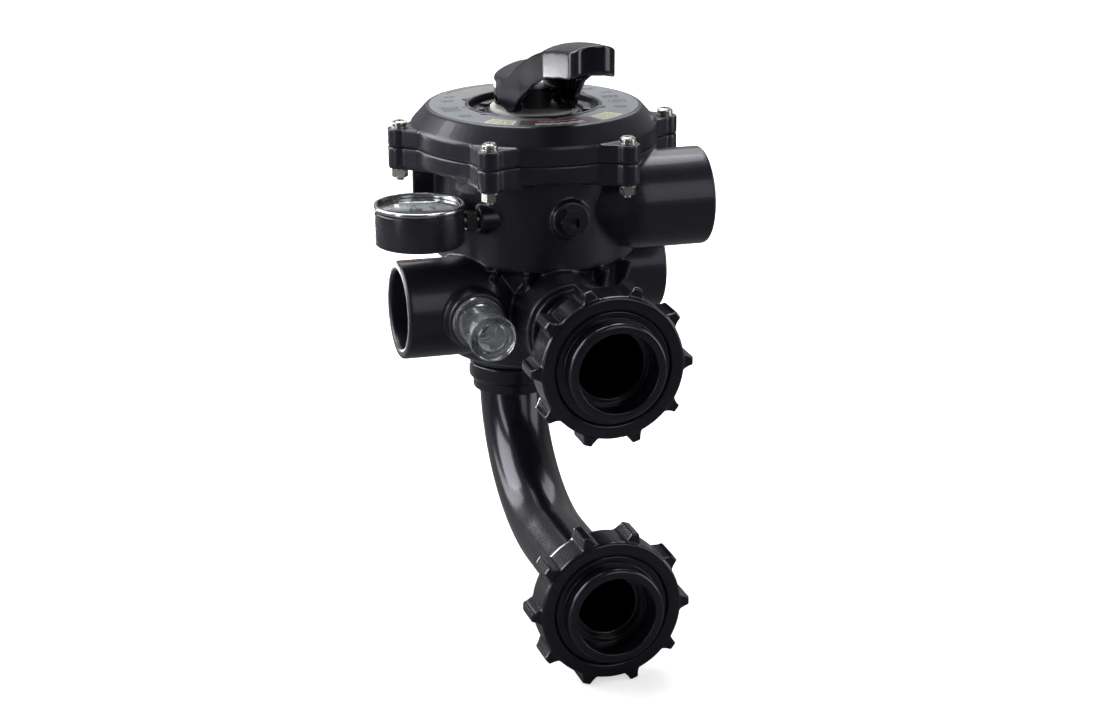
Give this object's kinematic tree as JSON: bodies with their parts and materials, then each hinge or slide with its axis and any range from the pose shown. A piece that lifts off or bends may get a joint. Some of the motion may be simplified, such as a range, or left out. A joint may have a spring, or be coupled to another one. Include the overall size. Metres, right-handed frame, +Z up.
{
  "type": "multiport valve",
  "caption": "Side-mount multiport valve for a pool or spa filter: turning lift handle over a ring of positions, slip ports, two unions to the filter, sight glass and gauge.",
  "frame": {"origin": "centre of the mouth of the upper union, on the plane that faces the filter", "axes": "-Y out of both unions towards the filter, +Z up along the rotor axis, +X towards the upper side port"},
  "size_m": [0.263, 0.3292, 0.4802],
  "materials": {
    "body_plastic": "moulded gloss black",
    "rotor_plastic": "satin black",
    "white_plastic": "satin",
    "seal_rubber": "matt",
    "label_foil": "printed satin foil",
    "stainless": "polished",
    "gauge_black": "enamel black",
    "bezel_chrome": "bright",
    "dial_white": "matt white",
    "brass": "turned",
    "clear_plastic": "clear moulded"
  },
  "bodies": {
    "valve": {"valve_body": "body_plastic", "cover": "body_plastic", "cover_o_ring": "seal_rubber", "label_plate": "label_foil", "cover_screws": "stainless", "cover_washers": "stainless", "cover_nuts": "stainless", "upper_neck": "body_plastic", "elbow_pipe": "body_plastic", "pipe_collar": "body_plastic", "seat_gasket": "seal_rubber", "gauge_case": "gauge_black", "gauge_bezel": "bezel_chrome", "gauge_lens": "clear_plastic", "gauge_dial": "dial_white", "gauge_movement": "brass", "bourdon_tube": "brass", "gauge_stem": "brass", "sight_glass": "clear_plastic", "sight_glass_o_ring": "seal_rubber", "port_plug": "body_plastic", "plug_washer": "seal_rubber"},
    "turning_stack": {"thrust_washer": "white_plastic", "slip_washer": "white_plastic"},
    "rotor": {"rotor": "rotor_plastic", "rotor_spring": "stainless", "spring_washer": "stainless", "stem_o_rings": "seal_rubber", "handle_pin": "stainless"},
    "handle": {"handle": "body_plastic"},
    "upper_union_end": {"upper_union_end": "body_plastic", "upper_union_o_ring": "seal_rubber"},
    "upper_union_nut": {"upper_union_nut": "body_plastic"},
    "lower_union_end": {"lower_union_end": "body_plastic", "lower_union_o_ring": "seal_rubber"},
    "lower_union_nut": {"lower_union_nut": "body_plastic"},
    "gauge_needle": {"gauge_needle": "gauge_black"}
  },
  "joints": [
    {"name": "rotor_turn", "type": "hinge", "parent": "valve", "child": "turning_stack", "pos_m": [0, 0.224, 0.15], "axis": [0, 0, 1], "continuous": true},
    {"name": "rotor_lift", "type": "slide", "parent": "turning_stack", "child": "rotor", "axis": [0, 0, 1], "range_m": [0, 0.0045], "deforming": ["rotor_spring"]},
    {"name": "handle_press", "type": "hinge", "parent": "rotor", "child": "handle", "pos_m": [0, 0.224, 0.1596], "axis": [1, 0, 0], "range_deg": [0, 14]},
    {"name": "upper_nut_turn", "type": "hinge", "parent": "valve", "child": "upper_union_nut", "pos_m": [0, 0.03, 0], "axis": [0, 1, 0], "range_deg": [0, 1080]},
    {"name": "upper_end_slide", "type": "slide", "parent": "valve", "child": "upper_union_end", "axis": [0, -1, 0], "range_m": [0, 0.0121]},
    {"name": "lower_nut_turn", "type": "hinge", "parent": "valve", "child": "lower_union_nut", "pos_m": [0, 0.03, -0.1905], "axis": [0, 1, 0], "range_deg": [0, 1080]},
    {"name": "lower_end_slide", "type": "slide", "parent": "valve", "child": "lower_union_end", "axis": [0, -1, 0], "range_m": [0, 0.0121]},
    {"name": "gauge_sweep", "type": "hinge", "parent": "valve", "child": "gauge_needle", "pos_m": [-0.107, 0.167, 0.09], "axis": [0, 0, -1], "range_deg": [0, 270]}
  ],
  "couplings": [
    {"joint": "rotor_lift", "follows": "handle_press", "m_per_rad": 0.018},
    {"joint": "upper_end_slide", "follows": "upper_nut_turn", "m_per_rad": 0.00063662},
    {"joint": "lower_end_slide", "follows": "lower_nut_turn", "m_per_rad": 0.00063662}
  ]
}
